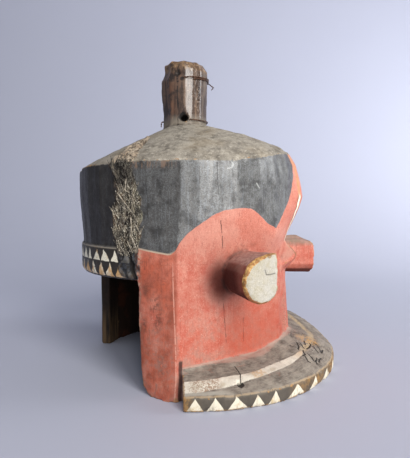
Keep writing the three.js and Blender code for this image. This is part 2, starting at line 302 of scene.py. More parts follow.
def bladeCuts(angle, height, around, tall, seed):
    # Cells of a loose grid, each one flat with its own tilt and depth, as a blade leaves them
    u = angle / 360 * around
    v = height / tall
    nearest = np.full(u.shape, 1e9)
    cut = np.zeros(u.shape)
    for du in (-1, 0, 1):
        for dv in (-1, 0, 1):
            i = np.mod(np.floor(u).astype(np.int64) + du, around)
            j = np.floor(v).astype(np.int64) + dv
            across = u - (np.floor(u) + du + 0.2 + 0.6 * scatter(i, j, seed))
            along = v - (j + 0.2 + 0.6 * scatter(i, j, seed + 7))
            distance = across ** 2 + along ** 2
            tilt = 1.1 * (scatter(i, j, seed + 11) - 0.5) * across
            lean = 0.9 * (scatter(i, j, seed + 13) - 0.5) * along
            plane = tilt + lean + 0.35 * (scatter(i, j, seed + 17) - 0.5) + 1.4 * across ** 2
            closer = distance < nearest
            nearest = np.where(closer, distance, nearest)
            cut = np.where(closer, plane, cut)
    return cut


def flatChords(angle, edges, radius):
    # How far a round of this radius is cut back where flats run from edge to edge
    edges = np.array(edges, float)
    angle = np.clip(angle, edges[0], edges[-1])
    at = flatIndex(angle, edges)
    half = np.radians(edges[at + 1] - edges[at]) / 2
    off = np.radians(angle - (edges[at] + edges[at + 1]) / 2)
    return radius * (np.cos(half) / np.cos(off) - 1)


# The plate's end and the side panel's end by angle, the cap's radius, how far the post stands behind
# the axis, and the arc per degree for each mm of radius
plateEnd = 67.6
panelEnd = 87.5
capRadius = 118
postBehind = 6
degreeArc = 0.0175
# Painted outlines as angle against height, or angle against distance from the axis
paintLines = {
    "capFoot": [(22.5, 142), (27.8, 146.8), (32.6, 154.2), (37, 160.1), (41.2, 161), (45.5, 160.4), (50.6, 158.6),
                (54.7, 155.2), (58.1, 150.5), (61.4, 145.8), (65.9, 139), (68.7, 132.2), (70.7, 124.7), (73, 120.8),
                (80, 123), (86.7, 125.4), (93, 125.6), (93.5, -20), (180, -20)],
    "browHalfWidth": [(142, 22.5), (149.7, 18.7), (159, 15.2), (169.5, 11.2), (178.3, 8.2), (188.1, 6.3), (205, 4.2)],
    "stripeInner": [(11, 132), (15, 131.2), (20, 129.7), (25.2, 128.2), (31.3, 128.6), (37, 130.4), (41.9, 131.9),
                    (46.2, 132.9), (50, 131.9), (54, 133.6), (66.8, 136.2)],
    "stripeOuter": [(11, 133.5), (14.2, 136), (29.8, 137.7), (37.4, 139), (44, 140.7), (49.9, 143), (55.2, 145.1),
                    (66.8, 147)],
    "crustMiddle": [(20, 88), (96, 88.5), (99, 92), (118, 92.3), (133, 93.8), (150, 93), (168, 93), (182, 94.6),
                    (200, 96), (206, 99.5), (214.5, 111)],
    "crustHalfWidth": [(20, -5), (94, -5), (99, 4), (118, 4.6), (126, 6.4), (141, 8.4), (159, 7.4), (168, 6.4),
                       (182, 5.2), (196, 4.6), (200, 6), (206, 7), (214.5, 6)],
    "crustSplit": [(96, 89.6), (118, 90.4), (126, 94), (133, 93.4), (141, 92.2), (157, 91.7), (172, 93.5), (189, 94.7),
                   (194, 96.4), (202, 98.6)],
}
# Left end, tip and right end of each white triangle on the plate's rim, by angle
rimTriangles = [(-66, -63, -60), (-58, -54.5, -51.5), (-49.5, -46, -43), (-41.5, -38, -35), (-33, -29.5, -26.5),
                (-24.5, -21, -18.5), (-16, -12.5, -9.5), (-6, -1.5, 2.5), (6.3, 8.6, 14.1), (16.4, 18.3, 22.6),
                (24.6, 28.4, 33.8), (35.6, 37.6, 40.8), (41.2, 44, 46.2), (46.6, 50.7, 53.8), (54, 57.2, 60),
                (60.4, 63.2, 66.2)]
# Angles at which one flat meets the next, on the cap and on the post
capFlats = [-181, -171, -160, -151, -141, -130, -121, -112, -101, -93, -84, -76, -68, -61, -52, -43, -34, -24, -12, 1,
            12, 23.4, 32.9, 43.2, 52.6, 61, 68.8, 73.8, 82, 90, 101, 110, 121, 130, 141, 151, 161, 170, 181]
postFlats = [-206, -165, -120, -75, -40, -12, 22, 64, 104, 150, 195]
# How pale the cap is painted from the front round to the back: painted sheen on the flats that catch the key light,
# with some wear
capSheenAndWear = [(-180, 0.1), (-60, 0.35), (17, 0.5), (28, 0.56), (38, 0.56), (48, 0.82), (57, 1), (65, 0.68), (71, 0.42),
            (78, 0.36), (86, 0.28), (96, 0.03), (180, 0)]
eyeForm = {"angle": 42, "height": 103, "halfWidth": 17, "halfHeight": 20.5, "farTop": 0.81,
           "endFrom": (145.5, 148.8)}
eyeOutline = [(-0.92, 1.04), (-0.97, 0.62), (-1.01, 0.05), (-1, -0.42), (-0.82, -0.76), (-0.42, -0.98), (0.05, -1.02),
              (0.48, -0.88), (0.78, -0.58), (0.94, -0.18), (0.88, 0.2), (0.64, 0.58), (0.2, 0.84), (-0.36, 0.97)]


def flatIndex(angle, edges):
    return np.clip(np.searchsorted(np.array(edges, float), angle) - 1, 0, len(edges) - 2)


def lineAt(name, value):
    return np.interp(value, *zip(*paintLines[name]))


def rimHeight(angle):
    share = 0.5 + 0.5 * np.cos(np.pi * unit(angle / 55))
    return 202 + 13 * share - 3 * smooth(angle, 90, 150)


def insideOutline(u, v, outline):
    # Distance to a closed outline, above zero inside it
    gap = np.full(u.shape, 1e9)
    inside = np.zeros(u.shape, bool)
    for (x0, y0), (x1, y1) in zip(outline, outline[1:] + outline[:1]):
        ex, ey = x1 - x0, y1 - y0
        share = unit(((u - x0) * ex + (v - y0) * ey) / (ex * ex + ey * ey))
        gap = np.minimum(gap, np.hypot(u - x0 - share * ex, v - y0 - share * ey))
        crosses = (y0 > v) != (y1 > v)
        inside ^= crosses & (u < x0 + (v - y0) * ex / np.where(ey == 0, 1e-9, ey))
    return np.where(inside, gap, -gap)


def readFloats(items, name, width):
    flat = np.empty(len(items) * width, np.float32)
    items.foreach_get(name, flat)
    return flat.reshape(-1, width).astype(float)


class Carving:
    # Where a mesh's points stand and what part of the carving each belongs to
    def __init__(self, mesh):
        self.place = readFloats(mesh.vertices, "co", 3) * 1000
        self.place[:, 1] -= axisBack * 1000
        self.normal = readFloats(mesh.vertices, "normal", 3)
        x, y, z = self.place.T
        self.z = z
        self.radius = np.hypot(x, y)
        self.angle = np.degrees(np.arctan2(-x, -y))
        self.side = np.abs(self.angle)
        self.outward = (x * self.normal[:, 0] + y * self.normal[:, 1]) / np.maximum(self.radius, 1)
        self.post = smooth(z, 246, 249) * (np.hypot(x, y - postBehind) < 29)
        self.postAngle = np.degrees(np.arctan2(-x, postBehind - y))
        self.rim = rimHeight(self.side)
        self.roof = (z > self.rim - 1) & (self.normal[:, 2] > 0.2) & (self.post < 0.5)
        crown = 192 + 32 * (1 - unit(self.radius / 100) ** 2)
        inward = (self.outward < 0.25) & ~((self.normal[:, 2] > 0.4) & ((z > 90) | (self.radius > 96)))
        hollow = (z < crown + 3) & (self.radius < 107.5) & inward
        self.cutEdge = (self.angle > 163) & (z < 97) & (self.outward < 0.6) & (self.radius > 94)
        self.inside = hollow | ((self.normal[:, 2] < -0.8) & (z < 4)) | self.cutEdge
        farEnd = smooth(-self.angle / plateEnd, 0.35, 1)
        root = blendTo(32, 25, smooth(self.side / plateEnd, 0.14, 0.45)) + 9 * farEnd
        endAngle = plateEnd + (132 - np.maximum(self.radius, 120)) * 0.04
        plate = np.minimum(root + 0.8 - z, (endAngle + 0.4 - self.side) * self.radius * degreeArc)
        self.plate = np.where(self.radius > 98, plate, -20)
        self.reach = blendTo(155.5, 152, smooth(self.side / plateEnd, 0.5, 1))
        self.edgeTop = 12.5 + 15 * farEnd
        self.eyes = [self.eyeFields(side) for side in (1, -1)]

    def eyeFields(self, side):
        a = math.radians(eyeForm["angle"])
        out = np.array((-side * math.sin(a), -math.cos(a), 0))
        along = self.place @ out
        u = self.place @ np.array((-side * math.cos(a), math.sin(a), 0))
        v = self.z - eyeForm["height"]
        top = 1 if side > 0 else eyeForm["farTop"]
        outline = [(p * eyeForm["halfWidth"], q * eyeForm["halfHeight"] * (top if q > 0 else 1))
                   for p, q in eyeOutline]
        near = (np.abs(u) < 24) & (np.abs(v) < 27) & (along > 100)
        gap = np.full(u.shape, -20.0)
        gap[near] = insideOutline(u[near], v[near], outline)
        return {"out": out, "along": along, "gap": gap, "u": u, "v": v}

    def flatTurn(self):
        return self.angle + 1.6 * lumps(self.place, 45, 301)

    def splitGap(self):
        wander = 1.8 * lumps(self.place, 9, 97) + 0.8 * lumps(self.place, 4, 98)
        return self.angle - lineAt("crustSplit", self.z) + wander

    def crust(self):
        level = np.where(self.roof, 200 + (118 - self.radius) * 0.25, self.z)
        wobble = 1.6 * lumps(self.place, 9, 5) + 0.9 * lumps(self.place, 4, 6)
        half = lineAt("crustHalfWidth", level)
        off = np.abs(self.angle - lineAt("crustMiddle", level)) + wobble
        keep = ~self.inside & (self.z > 20) & (self.post < 0.5) & (self.radius > 60)
        return (1 - smooth(off, half - 1.5, half + 1.5)) * keep


# The carving itself: the solid from CAD, remade as an even skin, worked over by blade and wear
helmetLook = {
    "voxel": 0.00145,
    "quickVoxel": 0.0028,
    "capFlat": 1.5,
    "capCut": 0.55,
    "faceCut": 0.35,
    "roofCut": 0.8,
    "postFlat": 0.7,
    "rimWear": 1.3,
    "plateWear": 1.5,
    "panelWear": 1.1,
    "collarWear": 1.2,
    "crustDepth": 1.9,
    "eyeChips": 1.9,
    "mostTriangles": 192000,
}


def bakeModifiers(made):
    evaluated = made.evaluated_get(bpy.context.evaluated_depsgraph_get())
    mesh = bpy.data.meshes.new_from_object(evaluated)
    made.modifiers.clear()
    made.data = mesh
    mesh.name = made.name


def skinFromNode(node, name, look):
    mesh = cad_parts[node].data.copy()
    tool = bmesh.new()
    tool.from_mesh(mesh)
    bmesh.ops.remove_doubles(tool, verts=tool.verts, dist=1e-6)
    tool.to_mesh(mesh)
    tool.free()
    made = newObject(name, mesh)
    remesh = made.modifiers.new("evenSkin", "REMESH")
    remesh.mode = "VOXEL"
    remesh.voxel_size = look["voxel"]
    made.modifiers.new("soften", "SMOOTH").iterations = 1
    bakeModifiers(made)
    return made


def workOver(mesh, look):
    c = Carving(mesh)
    place = c.place
    crust = c.crust()
    push = np.zeros(len(place))
    wall = ~c.inside & ~c.roof & (c.post < 0.5)
    capWall = wall & (c.z > lineAt("capFoot", c.side)) & (c.z > 126) & (c.side > lineAt("browHalfWidth", c.z))
    push += capWall * (flatChords(c.flatTurn(), capFlats, capRadius) * look["capFlat"] + 0.35)
    push += capWall * (bladeCuts(c.angle, c.z + 4 * lumps(place, 40, 3), 38, 30, 21) - 0.2) * look["capCut"]
    faceWall = wall & ~capWall & (c.plate < 0) & (c.side < 89)
    cut = bladeCuts(c.angle, c.z, 30, 34, 41) - 0.2
    push += faceWall * (cut * look["faceCut"] + 0.2 * roughness(place, 22, 9))
    roofCut = 0.5 * roughness(place * (1, 1, 2), 14, 51) + 0.5 * lumps(place, 3.6, 53)
    push += c.roof * roofCut * look["roofCut"]
    band = faceWall & (c.side < 14) & (c.z > 28) & (c.z < 98)
    push -= band * (0.3 + 1.6 * unit(roughness(place * (1, 1, 0.5), 5.5, 61) - 0.1))
    plateTop = (c.plate > 0) & (c.normal[:, 2] > 0.3) & (c.radius > 100)
    push += plateTop * (0.4 * roughness(place, 16, 71) + 0.2 * lumps(place, 4, 73))
    push += (c.inside & ~c.cutEdge) * 0.5 * roughness(place, 15, 81)
    push += (wall & (c.side > 89) & (c.z < 97)) * 0.4 * roughness(place * (1, 1, 0.4), 9, 83)

    # Edges lose wood unevenly: the gap to the edge, width, depth, size and seed of the chips, their
    # gain and lift, and where it holds
    fromRim = np.minimum(np.abs(c.z - c.edgeTop), np.abs(c.z))
    wornEdges = [
        (np.hypot(c.radius - capRadius, c.z - c.rim), 3.0, look["rimWear"], 12, 31, 1, 0.35, ~c.inside),
        (np.hypot(c.radius - c.reach, fromRim), 2.6, look["plateWear"], 8, 33, 1.6, -0.25, c.radius > 140),
        ((c.angle - panelEnd) * 2.05, 2.5, look["panelWear"], 9, 35, 1, 0.3, (c.z < 120) & ~c.inside),
        (np.hypot(c.radius - 117, c.z - 98), 2.6, look["collarWear"], 7, 37, 1, 0.2, c.side > 91),
    ]
    for gap, width, depth, size, seed, gain, lift, here in wornEdges:
        push -= depth * unit(roughness(place, size, seed) * gain + lift) * bell(gap, width) * here

    # Rough fibrous strip down the right side, with a black split along it
    shaggy = 0.15 + 0.5 * roughness(place * (1, 1, 0.6), 6, 91) + 0.6 * lumps(place * (1, 1, 0.7), 2.9, 95)
    split = bell(c.splitGap(), 1.1) * (c.z > 96)
    push += crust * (shaggy * look["crustDepth"] - 2.6 * split * smooth(lumps(place, 14, 99), -0.7, 0.1))

    # Split in the face under the arch, and the crack with its small hole in the plate
    for low, high, angleLow, angleHigh, deep in ((112, 150, 49.6, 51.7, 0.35), (42, 96, 47, 49.2, 0.25)):
        angle = np.interp(c.z, (low, high), (angleLow, angleHigh))
        fade = smooth(c.z, low, low + 12) * (1 - smooth(c.z, high - 6, high))
        push -= faceWall * deep * fade * bell((c.angle - angle) * 1.9, 0.9)
    hole = np.hypot(place[:, 0] + 105.4, place[:, 1] + 94.4)
    push -= plateTop * 3.0 * (1 - smooth(hole, 0.8, 2.6))

    # The post: long flats, blade cuts across them, and a nick
    cut = bladeCuts(c.postAngle + 10, c.z, 9, 34, 121)
    flat = flatChords(c.postAngle + 4 * lumps(place, 40, 127), postFlats, 24) * look["postFlat"] + 0.5
    push += c.post * (flat + (cut - 0.25) * 0.6 + 0.15 * roughness(place, 6, 123))
    nick = np.hypot((place[:, 0] + 21.5) * 0.7, c.z - 303) + 0.6 * np.abs(place[:, 1] - 3)
    push -= c.post * 2.5 * (1 - smooth(nick, 1.5, 4.5))
    pegGap = np.hypot((c.postAngle - 69) * 0.42, c.z - 257.5) + 1.1 * lumps(place, 5, 125)
    push -= c.post * 1.3 * (1 - smooth(pegGap, 3.5, 6.5)) * (c.postAngle > 40)
    place += c.normal * push[:, None]

    for eye in c.eyes:
        rim = bell(eye["gap"], 2.4) * smooth(eye["along"], 141, 149)
        chips = unit(roughness(place, 7, 131) * 1.5 + 0.15)
        place -= eye["out"] * (rim * chips * look["eyeChips"])[:, None]
        end = (eye["gap"] > -1) & (eye["along"] > 147)
        place -= eye["out"] * (end * (0.3 + 0.35 * lumps(place, 9, 133)))[:, None]
    shift = np.array((0, axisBack * 1000, 0))
    place[:] = np.clip(place, np.array(cadBox[0]) * 1000 - shift, np.array(cadBox[1]) * 1000 - shift) + shift
    mesh.vertices.foreach_set("co", (place / 1000).astype(np.float32).ravel())
    mesh.update()


def thin(made, most):
    triangles = sum(len(face.vertices) - 2 for face in made.data.polygons)
    if triangles > most:
        made.modifiers.new("fewer", "DECIMATE").ratio = most / triangles
        bakeModifiers(made)


def edgeField(mesh, rounds):
    # Above zero on ridges and edges, below zero in hollows
    count = len(mesh.vertices)
    place = readFloats(mesh.vertices, "co", 3)
    normal = readFloats(mesh.vertices, "normal", 3)
    ends = np.empty(len(mesh.edges) * 2, np.int32)
    mesh.edges.foreach_get("vertices", ends)
    a, b = ends.reshape(-1, 2).T
    degree = np.maximum(np.bincount(a, minlength=count) + np.bincount(b, minlength=count), 1)

    def average(values):
        return (np.bincount(a, values[b], count) + np.bincount(b, values[a], count)) / degree

    centre = np.stack([average(place[:, k]) for k in range(3)], 1)
    length = np.linalg.norm(place[a] - place[b], axis=1)
    spacing = (np.bincount(a, length, count) + np.bincount(b, length, count)) / degree
    bend = np.einsum("ij,ij->i", place - centre, normal) / np.maximum(spacing, 1e-6)
    for step in range(rounds):
        bend = 0.5 * bend + 0.5 * average(bend)
    return bend


def addPaintFields(mesh):
    c = Carving(mesh)
    beside = (c.side - lineAt("browHalfWidth", c.z)) * c.radius * degreeArc
    capLine = np.minimum(c.z - lineAt("capFoot", c.side), np.where(c.side < 24, beside, 20))
    browAcross = c.radius * np.sin(np.radians(c.angle)) - 1.6
    stripe = np.minimum(c.radius - lineAt("stripeInner", c.angle), lineAt("stripeOuter", c.angle) - c.radius)
    marks = [(edge, k + share) for k, ends in enumerate(rimTriangles) for edge, share in zip(ends, (0, 0.5, 1))]
    collar = np.minimum(np.minimum(c.z - 97.2, 125.2 - c.z), (c.side - 89) * 2)
    # Soot round each eye, with the eye's shadow on the face below and beside it painted in
    sootAndShade = []
    for eye in c.eyes:
        onFace = bell(eye["u"] - 16, 17) * bell(eye["v"] + 7, 22) * (eye["along"] < 113)
        fade = smooth(eye["along"], 106, 112) * (1 - smooth(eye["along"], 124, 156)) * smooth(eye["u"], -4, 10)
        sootAndShade.append(np.maximum(onFace, fade * bell(eye["v"] + 5, 24)))
    ends = [np.minimum(eye["gap"] + 0.5, eye["along"] - start) for eye, start in zip(c.eyes, eyeForm["endFrom"])]
    flatAt = flatIndex(c.flatTurn(), capFlats)
    flatMiddle = (np.array(capFlats)[flatAt] + np.array(capFlats)[flatAt + 1]) / 2
    farEye = c.eyes[1]
    fields = {
        "capLine": np.where(c.post > 0.5, 5, capLine),
        "browAcross": np.where((c.outward > 0) & (c.side < 60), browAcross, 50),
        "capSheenAndWear": np.interp(flatMiddle, *zip(*capSheenAndWear)) + 0.16 * (scatter(flatAt) - 0.5),
        "rimBelow": c.rim - c.z,
        "plateLine": c.plate,
        "stripeLine": np.minimum(stripe, (c.angle - 11) * 2.3),
        "rimPhase": np.interp(c.angle, *zip(*marks)),
        "rimBand": np.minimum(c.radius - c.reach + 2.4, c.edgeTop - 0.4 - c.z),
        "rimShare": c.z / c.edgeTop,
        "collarBand": np.where((c.outward > 0.2) | (c.normal[:, 2] < -0.5), collar, -5),
        "eyeEnd": np.max(ends, axis=0),
        "eyeBody": np.max([(eye["gap"] > -5) * smooth(eye["along"], 106, 114) for eye in c.eyes], axis=0),
        "farEyeTop": smooth(farEye["v"], 12, 16) * smooth(farEye["along"], 108, 114) * (np.abs(farEye["u"]) < 22),
        "eyeSootAndShadow": np.max(sootAndShade, axis=0),
        "eyeAcross": c.eyes[0]["u"],
        "postPart": c.post,
        "postTurn": c.postAngle,
        "rawInside": c.inside,
        "cutEdge": c.cutEdge,
        "roofPart": c.roof,
        "crustPart": c.crust(),
        "crustSplit": bell(c.splitGap(), 1.7) * (c.z > 98) * ~c.roof,
        "lowerWall": (c.side > 93.5) & (c.z < 97) & ~c.inside,
        "edgeWear": np.clip(edgeField(mesh, 3) * 6, -1, 1),
        "angleRound": c.angle,
    }
    for name, values in fields.items():
        mesh.attributes.new(name, "FLOAT", "POINT").data.foreach_set("value", np.asarray(values, np.float32))


helmet = skinFromNode("helmet", "helmet_carved", helmetLook)
print("even skin made:", len(helmet.data.vertices), "points")
workOver(helmet.data, helmetLook)
thin(helmet, helmetLook["mostTriangles"])
addPaintFields(helmet.data)
helmet.data.shade_smooth()
print("carving worked over:", len(helmet.data.polygons), "faces")

# Painted wood
paintLook = {
    "rawLight": "#b98c55",
    "rawDark": "#6d4a2c",
    "red": "#bd5844",
    "redPale": "#d9957f",
    "redArchHighlight": "#e2a08b",
    "redDark": "#8b4435",
    "redGrey": "#9a776a",
    "black": "#221e1b",
    "blackPale": "#777672",
    "blackBrown": "#33291f",
    "plateGrey": "#8a8073",
    "plateDark": "#584f47",
    "dust": "#a0978a",
    "sootAndShade": "#140d0a",
    "insideShadeBrown": "#1d120b",
    "crustDark": "#1e1a16",
    "collarTriangles": 54,
}
# Marks cut or eaten into the plate: points in mm from the axis, joined in turn
plateMarks = [
    [(-24.8, -118.4), (-24.4, -119.2)],
    [(-11.1, -122.1), (-14.9, -123.8), (-20.1, -126.1), (-25.4, -126.3), (-25.9, -126.9)],
    [(-9.1, -125.1), (-12.1, -127), (-16.5, -129.4), (-17.8, -130.6)],
    [(0, -127.4), (-5.8, -129.3), (-8.7, -130.2)],
    [(1, -132.2), (-1.5, -134.5), (-7.5, -134.3), (-13, -134.3), (-16.9, -133.1)],
    [(-5.2, -135.8), (-4.5, -137.7), (-6.8, -140), (-8.5, -141.8), (-10, -143)],
    [(-14, -137.6), (-13.8, -138.6)],
    [(-22.7, -131), (-27.5, -132.2), (-29.8, -134), (-33.7, -132.7)],
    [(-26.6, -136.4), (-28.4, -140.6), (-30.2, -142.1), (-29.6, -144.1), (-21.9, -143.9)],
    [(-32.9, -134.6), (-36.9, -138.1), (-36.2, -140.3)],
    [(5.6, -138), (1.7, -142.1), (-0.8, -143.5), (-6.2, -145.3), (4, -145.7)],
    [(-28.2, -144), (-32.2, -145.4)],
    [(-26, -146.5), (-21.1, -146.2), (-16.2, -146.8)],
]
plateCrack = [(-86.2, -83.5), (-91.7, -89.1), (-95.9, -92.1), (-102.3, -94.4), (-106.4, -96)]
# Splits in the face and cap: angle and height at each end, width in mm
faceCracks = [((51.7, 150), (49.8, 126), 0.5), ((48.9, 80), (47, 40), 0.32), ((36.5, 60), (36.2, 38), 0.28),
              ((53.4, 200), (52.9, 172), 0.5), ((83.2, 180), (82.4, 152), 0.35)]
# Pale scratches in the cap's black
capScratches = [((47.2, 201), (46.2, 198.5), 0.7), ((46.2, 198.5), (46.9, 195.6), 0.9),
                ((46.9, 195.6), (48.8, 195), 0.7), ((34.8, 183), (33.4, 178.6), 0.8)]
# Cracked lines in the eye's cream end: across and up from its middle
eyeMarks = [(-3.6, 7.5), (-4.9, 3.6), (-9, 3.7), (-13, 4.4)]

paintedWood, sheet, surface, point = newMaterial("paintedWood")
over, rise, near, mix, noise, stretch, field, apart = (
    sheet.over, sheet.rise, sheet.near, sheet.mix, sheet.noise, sheet.stretch, sheet.field, sheet.apart)
grain = sheet.group(grainGroup, {"Vector": point, "Fineness": 1.0})
edge = field("edgeWear")
n25 = noise(point, 25, 4, 0.6)
n90 = noise(point, 90, 5, 0.65)
n300 = noise(point, 300, 5, 0.7)
n900 = noise(point, 900, 4, 0.7)
streak = noise(stretch(point, (1, 1, 0.1)), 190, 5, 0.7, 0.3)
fineStreak = noise(stretch(point, (1, 1, 0.06)), 620, 4, 0.7)
wobble = n90 * 1.2 + n300 - 1.1
facingUp = sheet.facing()
height = sheet.part(point, "Z")
level = height * 1000.0
around = field("angleRound")


def signed(name, soft=0.25, drift=1.0):
    return rise(field(name) + wobble * drift, -soft, soft)


raw = mix(grain["Tone"], paintLook["rawDark"], paintLook["rawLight"])

# Red of the face: thin, streaked along the grain, darker on the side panel
red = mix(rise(n90, 0.25, 0.8), paintLook["red"], paintLook["redPale"])
# Paler band up under the arch: painted highlight
red.lay(paintLook["redArchHighlight"], 0.6, (height, 0.112, 0.135))
red.lay("#c9573a", 0.35, (n25, 0.48, 0.62))
red.lay(paintLook["redPale"], 0.4, (streak, 0.5, 0.72))
red.lay(paintLook["redDark"], 0.4, (fineStreak, 0.54, 0.7))
red.lay(paintLook["redDark"], 0.35, (n300, 0.55, 0.75))
red.lay("#f0bda8", 0.45, (n900, 0.55, 0.68))
red.lay("#8a3b2c", 0.45, (n900, 0.44, 0.33))
onPanel = rise(around, 69, 71) * rise(around, 98, 96)
panelRed = mix(rise(streak, 0.4, 0.62) * 0.45 + rise(n90, 0.35, 0.65) * 0.55, "#8c4a36", "#c25f43")
panelRed.lay("#7d4636", 0.5, (n300, 0.5, 0.62))
red.lay(panelRed, 1, onPanel, (n25, 0.3, 0.6))
sideOn = sheet.combine(around * 2.1, level)
stains = 0.0
for place, reachOf in (((79.2, 78), 9), ((78, 64), 8), ((76, 26), 8), ((84.5, 60), 6), ((83.5, 90), 6)):
    gap = apart(stretch(sideOn, (1, 0.55, 1)), (place[0] * 2.1, place[1] * 0.55, 0))
    stains = over(stains, rise(gap, reachOf, 0.5))
stains = over(stains * rise(n300 + streak * 0.8, 0.78, 0.92), rise(streak, 0.56, 0.66) * 0.6)
red.lay("#4c3226", 0.65, stains, onPanel)
red.lay(paintLook["redGrey"], 0.55, (height, 0.1, 0.03), (n90 + n300 * 0.6, 0.7, 1.0))
red.lay("#b04c33", 0.5, near(around, 25, 16, 30), (height, 0.1, 0.045))
creaseAt = 70.2 + rise(height, 0.02, 0.12) * 1.6
creaseLine = near(around + wobble * 0.2, creaseAt, 0.08, 0.38)
red.lay("#eeb09b", 0.6, creaseLine, (height, 0.12, 0.1), (n300, 0.35, 0.5))
red.lay("#c9a58c", 0.7, near(around, panelEnd, 0.6, 2.6), (n300, 0.42, 0.55))
cornerChips = near(around, -3, 3.5, 8) * near(level, 56, 14, 24)
red.lay(mix(rise(n900, 0.4, 0.6), "#6d3022", "#d39a80"), 0.7, cornerChips, (n300, 0.48, 0.55))
# Paler on the nose's top facet, where it faces up: painted highlight
red.lay("#b58d7c", 0.5, near(around, 0, 9, 15), near(level, 116, 11, 16), (facingUp, 0.2, 0.6))
red.lay("#6b2a1a", 0.13)

# Black of the cap, a little glossy, paler on the flats at the front: worn, and with painted sheen
capWearAndSheen = field("capSheenAndWear") + (n90 - 0.5) * 0.5
black = mix(rise(capWearAndSheen, 0.0, 1.0), paintLook["black"], paintLook["blackPale"])
black.lay(paintLook["blackBrown"], 0.35, (streak, 0.5, 0.7))
squiggle = noise(point, 240, 3, 0.6, 1.6)
black.lay("#a5abad", 0.4, near(squiggle, 0.5, 0.012, 0.05), capWearAndSheen)
black.lay("#3a3b3b", 0.45, near(squiggle, 0.42, 0.01, 0.05), capWearAndSheen)
black.lay("#26221e", 0.5, (n900, 0.46, 0.36))
black.lay("#1f1c19", 0.45, (n90, 0.5, 0.36))
black.lay("#8b9095", 0.6, (fineStreak, 0.52, 0.7), capWearAndSheen)
capRub = sheet.group(wearGroup, {"Vector": point, "Edge": edge, "Amount": 0.4})["Mask"]
black.lay("#8c8a84", 0.6, capRub, capWearAndSheen)
black.lay("#7c6350", 0.75, near(field("rimBelow"), 2.5, 2.5, 6), (fineStreak, 0.47, 0.56), near(around, 82, 6, 14))
isCap = signed("capLine", 0.3, 1.2)
colour = mix(isCap, red, black)
colour.lay("#b9a68f", 0.8, near(field("capLine"), 0.3, 0.3, 1.1), (around, 70, 74), (around, 88, 87))

# White line down the brow below its tip, bare and ochre above it
browAcross = field("browAcross") + wobble * 2.2
browSpan = rise(height, 0.177, 0.17) * rise(height, 0.126, 0.13)
cream = mix(rise(n90, 0.45, 0.75), "#f1ead4", "#d6c7a6")
colour.lay(mix(n300, "#a9693a", "#d9ad78"), 0.8, near(browAcross, 3.4, 0.8, 2.6), (height, 0.155, 0.172))
colour.lay("#b06a3c", 0.75, browSpan, near(browAcross, 4.4, 2.4, 3.4))
colour.lay(cream, 1, browSpan, near(browAcross, 3.4, 1.5, 2.2))
# Dark thin line beside the white one: painted shade along the ridge
colour.lay("#4a261b", 0.8, browSpan, near(browAcross, 5.9, 0.2, 0.8))

# Collar with two rows of triangles
turnShare = sheet.math("ARCTAN2", sheet.part(point, "X") * -1.0, axisBack - sheet.part(point, "Y"))
turnShare = turnShare * (paintLook["collarTriangles"] / (2 * math.pi)) + (noise(point, 60, 2, 0.5) - 0.5) * 0.9
wavy = wobble * 0.18


def triangleRow(low, high, shift):
    share = (height - low) * (1 / (high - low)) + wavy
    off = sheet.math("PINGPONG", turnShare + (shift + 200.0), 0.5)
    room = 1 - share - off * (1.75 + n25 * 0.9)
    return rise(share, 0.0, 0.05) * rise(room, 0.0, 0.1)


rows = over(triangleRow(0.1122, 0.1235, 0.0), triangleRow(0.0985, 0.1118, 0.5))
rows = rows * rise(n300 + n90 * 0.5, 0.52, 0.64)
collar = mix(n90, "#1b1612", "#39332b")
collar.lay("#4d3a28", 0.7, (streak, 0.5, 0.65))
collarWhite = mix(rise(n90, 0.48, 0.7), "#f2ead2", "#c39a62")
collarWhite.lay("#6e5a42", 0.6, (n900, 0.54, 0.64))
collarWhite.lay("#c4924f", 0.8, (height, 0.112, 0.106), (n90, 0.34, 0.52))
collar.lay(collarWhite, 1, rows)
collar.lay("#9b9283", 0.7, (height, 0.1236, 0.1248))
colour.lay(collar, 1, signed("collarBand", 0.3, 0.4))

# Plate with its stripe and the triangles round its rim
fromAbove = stretch(sheet.vector("SUBTRACT", point, (0, axisBack, 0)), (1000, 1000, 0))
fromAxis = sheet.vector("LENGTH", fromAbove)
alongPlate = sheet.combine(around * 0.22, fromAxis, height * 500.0)
scratched = noise(alongPlate, 1.0, 6, 0.75, 0.2)
plate = mix(rise(n90, 0.3, 0.7), paintLook["plateDark"], paintLook["plateGrey"])
plate.lay("#a89e90", 0.75, (scratched, 0.5, 0.68))
plate.lay("#40382f", 0.65, (scratched, 0.47, 0.34))
plate.lay("#3a342e", 0.3, (n300, 0.6, 0.75))
plate.lay("#a2644f", 0.55, (noise(point, 60, 3, 0.6), 0.56, 0.68), (n300, 0.48, 0.62))
plate.lay("#c79483", 0.55, near(field("plateLine"), 0.7, 0.4, 1.5))
plate.lay("#aaa599", 0.75, near(field("rimBand"), -2.2, 0.9, 2.2), (around, 50, 58))
plate.lay("#c9b184", 0.7, near(fromAxis, 132, 1.5, 4.5), (around, 14, 8), (n300, 0.36, 0.5))
stripeMask = signed("stripeLine", 0.4, 1.6) * rise(n300, 0.24, 0.4)
speckled = near(around, 60, 3.5, 7) * rise(n900 * 0.6 + n300 * 0.4, 0.47, 0.54)
stripeColour = mix(rise(n90, 0.55, 0.75), "#e3dccb", "#cfc09e")
stripeColour.lay("#d0a268", 0.7, near(around, 39, 2.0, 3.5), (n300, 0.4, 0.55))
stripeColour.lay("#a89878", 0.5, (n900, 0.55, 0.66))
stripeColour.lay("#b98d4f", 0.6, (around, 20, 12))
stripeColour.lay(mix(n300, "#6b4a35", "#a77e5b"), 0.85, speckled)
plate.lay(stripeColour, 1, stripeMask)
plate.lay("#bf9150", 0.9, (apart(stretch(point, (1000, 1000, 0)), (9, -110, 0)), 15, 6), (n300, 0.45, 0.55))
rimTent = sheet.math("PINGPONG", field("rimPhase"), 0.5)
